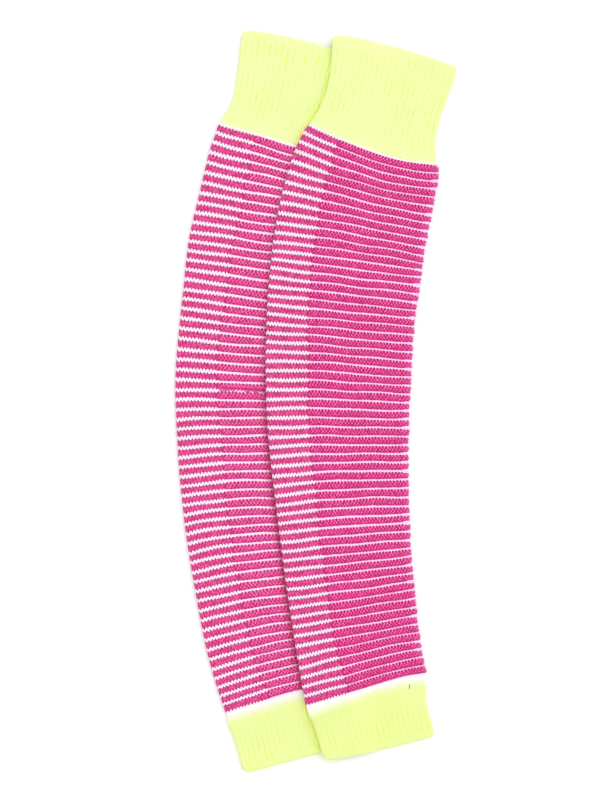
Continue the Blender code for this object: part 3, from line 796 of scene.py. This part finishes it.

    # random blotches of tone, with painted shade running on from the dark tips
    blotches = ramp(tree, noise(tree, where, look["mottleScale"]), 0.34, 0.62)
    mottleAndTipShade = calc(tree, "MULTIPLY_ADD", tip, -0.5, blotches)
    pink = blendColour(tree, mottleAndTipShade, look["pinkShade"], look["pink"])
    welted = blendColour(tree, times(tree, loose, 0.3), look["pinkInWelts"], look["pinkLoose"])
    pink = blendColour(tree, welt, pink, welted)
    # painted highlights on the arcs of the purls
    pink = blendColour(tree, arcHighlights, pink, look["pinkPaintedHighlight"])
    # painted light on the curve of the right fold
    pink = blendColour(tree, times(tree, fold, 0.8), pink, look["pinkPaintedLightAtFold"])
    # painted shade on the welts' lower slopes and ends, in their deep dips and in the gaps between the
    # stitches
    paintedShadeShare = calc(tree, "MINIMUM", highest(tree, lower, deepDipShade, corner, gapShade), 1.0)
    pink = blendColour(tree, paintedShadeShare, pink, look["pinkPaintedShade"])
    # the white yarn, with painted shade and pink bounced light in the welts' grooves, painted shade in the
    # stitches' gaps, and cream by the upper cuff
    whiteYarn = blendColour(tree, loose, look["whiteShadedInWelts"], look["whiteShadedInLooseWelts"])
    whiteYarn = blendColour(tree, welt, look["white"], whiteYarn)
    whiteYarn = blendColour(tree, times(tree, stitch["Gap"], plain, 0.3), whiteYarn, look["whiteShade"])
    whiteYarn = blendColour(tree, ramp(tree, evenRow, -0.02, -0.3), whiteYarn, look["cream"])
    base = blendColour(tree, white, pink, whiteYarn)
    # the darkest painted shade, in the purls' dips and at the plain stitches' tips
    darkestShade = times(tree, highest(tree, dips, tipShade), calc(tree, "MULTIPLY_ADD", white, -0.8, 0.9))
    start, stop = look["darkRows"]
    onTube = times(tree, ramp(tree, row, *start), ramp(tree, row, *stop, 1.0, 0.0))
    darkestShade = times(tree, calc(tree, "MINIMUM", darkestShade, 0.95), onTube)
    base = blendColour(tree, darkestShade, base, look["pinkDarkestShade"])
    # painted shadow of the right leg on the left one
    base = blendColour(tree, times(tree, paintedLegShade, 0.7), base, look["paintedLegShadeColour"])
    purls = times(tree, calc(tree, "MULTIPLY_ADD", lattice, -0.5, 0.5), welt)
    relief = calc(tree, "MULTIPLY_ADD", stitch["Height"], plain, purls)
    finishMaterial(tree, shader, base, yarn, relief, look["stitchRelief"])
    return material


cuffLook = {
    "ribHeight": 0.42,
    "ribShoulder": 0.24,  # of a rib's pitch, from its furrow to its crest
    "baseRise": 0.25,
    "legHeight": 0.1,  # of a stitch's two legs over the rib between them
    "courseHeight": 0.06,
    "unevenRise": (0.1, 4.0),  # mm, and the rows that it takes to change
    "wander": (0.1, 5.0),  # wales by which a rib leaves its line, and rows
    "atSeam": 0.15,  # share of the ribs' height at the seam with the tube
    "seamFade": 24.0,  # mm from there to their full height
    "creamReach": 2.6,  # mm from the seam
    "paintedLegShadeReach": 5.0,  # mm from the right leg, where its painted light and shade tint the left one
    "linesPerCourse": 2,
    "fineWales": (-2.0, 44.0),  # the upper side and both folds
    # from the inside of the mouth round the lip: mm into the leg, and mm deep in the cloth
    "lip": (
        (knit["mouth"], knit["wall"]), (7.0, knit["wall"]), (2.0, knit["wall"]),
        (0.7, 1.65), (0.15, 1.25), (0.0, 0.85), (0.2, 0.45), (0.7, 0.12),
    ),
    "seamTuck": (0.25, 0.7),  # mm past the seam, and mm that the last line is tucked in
    "upper": {
        "rows": (knit["openRows"][0], -0.3),  # of the mouth, and of the seam
        "courses": 43,
        "flat": (0.215, 0.085),
        "paintedShadeShare": {"left": 0.0, "right": 0.0},  # how much of the lower cuffs' painted shade, a deeper lime, it has
        "paintedLegShade": 0.8,
    },
    "lower": {
        "rows": (knit["openRows"][1], 62.4),
        "courses": 24,
        "flat": (0.196, 0.046),
        "paintedShadeShare": {"left": 0.6, "right": 1.0},
        "paintedLegShade": 1.0,
    },
    "patchScale": 32.0,
    "dashes": (0.9, 0.24),  # in a wale, and in a course
    "stitchRelief": 0.00025,  # m
    "lime": colour(231, 243, 169),
    "limeShadedLower": colour(230, 242, 157),
    "limeFurrowShade": colour(224, 239, 118),
    "limePaintedLegShade": colour(246, 255, 136),
    "limeLowerPaintedLegShade": colour(238, 244, 116),
    "limeGapShade": colour(212, 228, 104),
    "cream": colour(236, 244, 190),
}


def makeCuff(leg, end, material, seed):
    look, own = cuffLook, cuffLook[end]
    openRow, seamRow = own["rows"]
    inward = 1.0 if end == "upper" else -1.0
    lineCount = own["courses"] * look["linesPerCourse"]
    pastSeam, seamDip = look["seamTuck"]
    # for each line: its row, how far it slides along the leg, how deep it is, and its dip at the seam
    lines = [(openRow, inward * slide, depth, 0.0) for slide, depth in look["lip"]]
    for i in range(1, lineCount + 1):
        lines.append((openRow + (seamRow - openRow) * i / lineCount, 0.0, 0.0, 0.0))
    lines.append((seamRow, inward * pastSeam, 0.0, seamDip))
    if end == "lower":
        lines = lines[::-1]
    lineRows, slides, depths, dips = np.array(lines).T
    columns = columnsRound(*look["fineWales"])
    piece, across, along = flatKnit(f"{leg}_{end}_cuff_knit", columns, lineRows)
    rows, wales = lineRows[along], columns[across]
    slide, depth, dip = slides[along], depths[along], dips[along]
    section = sectionsAt(leg, rows)
    toEnd = fromOpenEnd(leg, section, openRow) + np.abs(slide) * (depth > 0)
    toSeam = fromOpenEnd(leg, section, seamRow)
    outside = depth < 0.01
    strength = smoothstep(toEnd / knit["ribStart"]) * outside
    strength = strength * (look["atSeam"] + (1 - look["atSeam"]) * smoothstep(toSeam / look["seamFade"]))
    ribPart = np.mod(wales / 2.0, 1.0)
    crest = smoothstep(np.minimum(ribPart, 1 - ribPart) / look["ribShoulder"])
    course = (rows - openRow) / (seamRow - openRow) * own["courses"]
    legsOfStitch = -np.cos(4 * math.pi * ribPart) * crest
    beads = np.cos(2 * math.pi * course) * crest
    rise = look["ribHeight"] * crest + look["legHeight"] * legsOfStitch + look["courseHeight"] * beads
    most, rowLength = look["unevenRise"]
    uneven = most * softWaves(seed, rowLength, rows, wales)
    rise = look["baseRise"] * outside + rise * strength + uneven
    most, rowLength = look["wander"]
    wander = most * softWaves(seed + 1, rowLength, rows, wales) * strength
    points = legPoints(leg, rows, wales + wander, rise, slide, depth + dip, even=True)
    addAttribute(piece, "ribs", strength)
    addAttribute(piece, "seam", np.clip(1.0 - toSeam / look["creamReach"], 0, 1))
    addAttribute(piece, "paintedShadeShare", np.full(rows.shape, own["paintedShadeShare"][leg]))
    # the mask of the right leg's painted light and shade on the left one
    addAttribute(piece, "paintedLegShade", own["paintedLegShade"] * nearRightLeg(leg, points, look["paintedLegShadeReach"]))
    closeRound(piece, points, rows, wales)
    finishCloth(piece, leg, f"{end}_cuff", material)


def makeLimeMaterial():
    look = cuffLook
    material, tree, shader = newMaterial("limeRibKnit", 0.2)
    count = useGroup(tree, knitCount, First_Row=0.0, Last_Row=float(look["upper"]["courses"]))
    wale, course = count["Wale"], count["Row"]
    yarn = useGroup(tree, spunYarn, Wale=wale, Course=course)
    stitch = useGroup(tree, plainStitches, Wale=calc(tree, "MULTIPLY", wale, 0.5), Course=course)
    ribs, seam, paintedShadeShare, paintedLegShade = (readAttribute(tree, name) for name in ("ribs", "seam", "paintedShadeShare", "paintedLegShade"))

    # painted shade in the furrows between the ribs, as short dashes in patches, deeper in the stitches'
    # gaps
    patches = ramp(tree, noise(tree, objectPlace(tree), look["patchScale"], 2.0), 0.38, 0.62, 0.25, 0.95)
    inWale, inCourse = look["dashes"]
    dashPlace = (calc(tree, "MULTIPLY", wale, inWale), calc(tree, "MULTIPLY", course, inCourse))
    alongRib = put(tree, "ShaderNodeCombineXYZ", dashPlace).outputs[0]
    dashes = ramp(tree, noise(tree, alongRib, 1.0), 0.4, 0.64, 0.2, 1.0)
    ribWave = wave(tree, wale, 0.5)
    lines = highest(tree, ramp(tree, ribWave, 0.35, 1.0), ramp(tree, ribWave, -0.85, -1.0, 0.0, 0.4))
    furrowShade = times(tree, lines, dashes, patches, ribs)
    # painted shade: the lower cuffs are painted a little darker
    base = blendColour(tree, paintedShadeShare, look["lime"], look["limeShadedLower"])
    base = blendColour(tree, furrowShade, base, look["limeFurrowShade"])
    base = blendColour(tree, times(tree, stitch["Gap"], furrowShade, 0.5), base, look["limeGapShade"])
    # painted shade and bounced light where the right leg lies on the left one
    legShadeTint = blendColour(tree, paintedShadeShare, look["limePaintedLegShade"], look["limeLowerPaintedLegShade"])
    base = blendColour(tree, paintedLegShade, base, legShadeTint)
    base = blendColour(tree, seam, base, look["cream"])
    base = blendColour(tree, useGroup(tree, caughtFibre)["Mask"], base, fibreLook["colour"])
    finishMaterial(tree, shader, base, yarn, stitch["Height"], look["stitchRelief"])
    return material


bandLook = {
    "rows": (  # and how deep each is tucked under, mm
        (60.86, 1.4), (61.0, 0.6), (61.12, 0.0), (61.35, 0.0), (61.6, 0.0),
        (61.85, 0.0), (62.12, 0.0), (62.4, 0.0), (62.52, 0.6), (62.68, 1.4),
    ),
    "fineWales": (-2.0, 44.0),  # the upper side and both folds
    "rise": 0.3,
    "stitchHeight": 0.15,
    "coursesPerRow": 3.0,
    "creamRows": (61.5, 62.4),  # where it takes on the lower cuff's lime
    "stitchRelief": 0.00025,  # m
    "flat": (0.21, 0.012),
    "white": colour(246, 242, 239),
    "whiteShade": colour(238, 232, 231),
    "cream": colour(238, 246, 190),
}


def makeBand(leg, material):
    look = bandLook
    lineRows, dips = np.array(look["rows"]).T
    columns = columnsRound(*look["fineWales"])
    piece, across, along = flatKnit(leg + "_band_knit", columns, lineRows)
    rows, wales = lineRows[along], columns[across]
    betweenLegs = np.cos(4 * math.pi * wales)
    rise = look["rise"] - look["stitchHeight"] * betweenLegs
    points = legPoints(leg, rows, wales, rise, 0.0, dips[along], even=True)
    closeRound(piece, points, rows, wales)
    finishCloth(piece, leg, "white_band", material)


def makeWhiteMaterial():
    look = bandLook
    material, tree, shader = newMaterial("whitePlainKnit", 0.2)
    first, last = look["rows"][0][0], look["rows"][-1][0]
    count = useGroup(tree, knitCount, First_Row=first, Last_Row=last)
    wale, row = count["Wale"], count["Row"]
    course = calc(tree, "MULTIPLY", row, look["coursesPerRow"])
    yarn = useGroup(tree, spunYarn, Wale=wale, Course=course)
    stitch = useGroup(tree, plainStitches, Wale=wale, Course=course)
    base = blendColour(tree, calc(tree, "MULTIPLY", stitch["Gap"], 0.6), look["white"], look["whiteShade"])
    base = blendColour(tree, ramp(tree, row, *look["creamRows"]), base, look["cream"])
    base = blendColour(tree, useGroup(tree, caughtFibre)["Mask"], base, fibreLook["colour"])
    finishMaterial(tree, shader, base, yarn, stitch["Height"], look["stitchRelief"])
    return material


stripedMaterial = makeStripedMaterial()
limeMaterial = makeLimeMaterial()
whiteMaterial = makeWhiteMaterial()
print("materials made")

for leg, seed in (("left", 11), ("right", 47)):
    makeCuff(leg, "upper", limeMaterial, seed + 3)
    makeTube(leg, stripedMaterial, seed)
    makeBand(leg, whiteMaterial)
    makeCuff(leg, "lower", limeMaterial, seed + 7)
    print(leg, "leg made")


studio = {
    "floorSize": 12.0,
    "floorHeight": -0.0003,
    "floorColour": colour(250, 250, 250),
    "worldStrength": 1.05,
    "keyStrength": 0.7,
    "keySoftness": 60.0,  # degrees
    "keyTilt": (38.0, 40.0),  # degrees off straight down, and round from straight to the right
    "keyPlace": (0.8, 0.7, 1.5),
    "cameraPlace": (-0.014, 0.0013, 3.506),  # straight above
    "viewHeight": 0.68,  # what the image shows of the surface, top to bottom
    "clothHeight": 0.006,  # of the cloth that viewHeight is meant for
    "sensor": 36.0,
}


def makeStudio():
    bpy.ops.object.select_all(action="DESELECT")
    bpy.ops.mesh.primitive_plane_add(size=studio["floorSize"], location=(0, 0, studio["floorHeight"]))
    floor = bpy.context.object
    floor.name = "studioFloor"
    material = bpy.data.materials.new("paleFloor")
    material.use_nodes = True
    shader = material.node_tree.nodes["Principled BSDF"]
    shader.inputs["Base Color"].default_value = studio["floorColour"]
    shader.inputs["Roughness"].default_value = 1.0
    shader.inputs["Specular IOR Level"].default_value = 0.0
    floor.data.materials.append(material)

    world = bpy.data.worlds.new("softStudio")
    world.use_nodes = True
    background = world.node_tree.nodes["Background"]
    background.inputs["Color"].default_value = (1, 1, 1, 1)
    background.inputs["Strength"].default_value = studio["worldStrength"]
    bpy.context.scene.world = world
    lean, turn = (math.radians(value) for value in studio["keyTilt"])
    bpy.ops.object.light_add(type="SUN", location=studio["keyPlace"], rotation=(0, lean, turn))
    key = bpy.context.object
    key.name = "keyLight"
    key.data.energy = studio["keyStrength"]
    key.data.angle = math.radians(studio["keySoftness"])


def makeCamera():
    data = bpy.data.cameras.new("overheadCamera")
    data.sensor_width = studio["sensor"]
    distance = studio["cameraPlace"][2] - studio["clothHeight"]
    data.lens = studio["sensor"] * distance / studio["viewHeight"]
    camera = bpy.data.objects.new("overheadCamera", data)
    camera.location = studio["cameraPlace"]
    bpy.context.scene.collection.objects.link(camera)
    bpy.context.scene.camera = camera


makeStudio()
makeCamera()
bpy.context.scene.view_settings.view_transform = "Standard"
print("studio made")
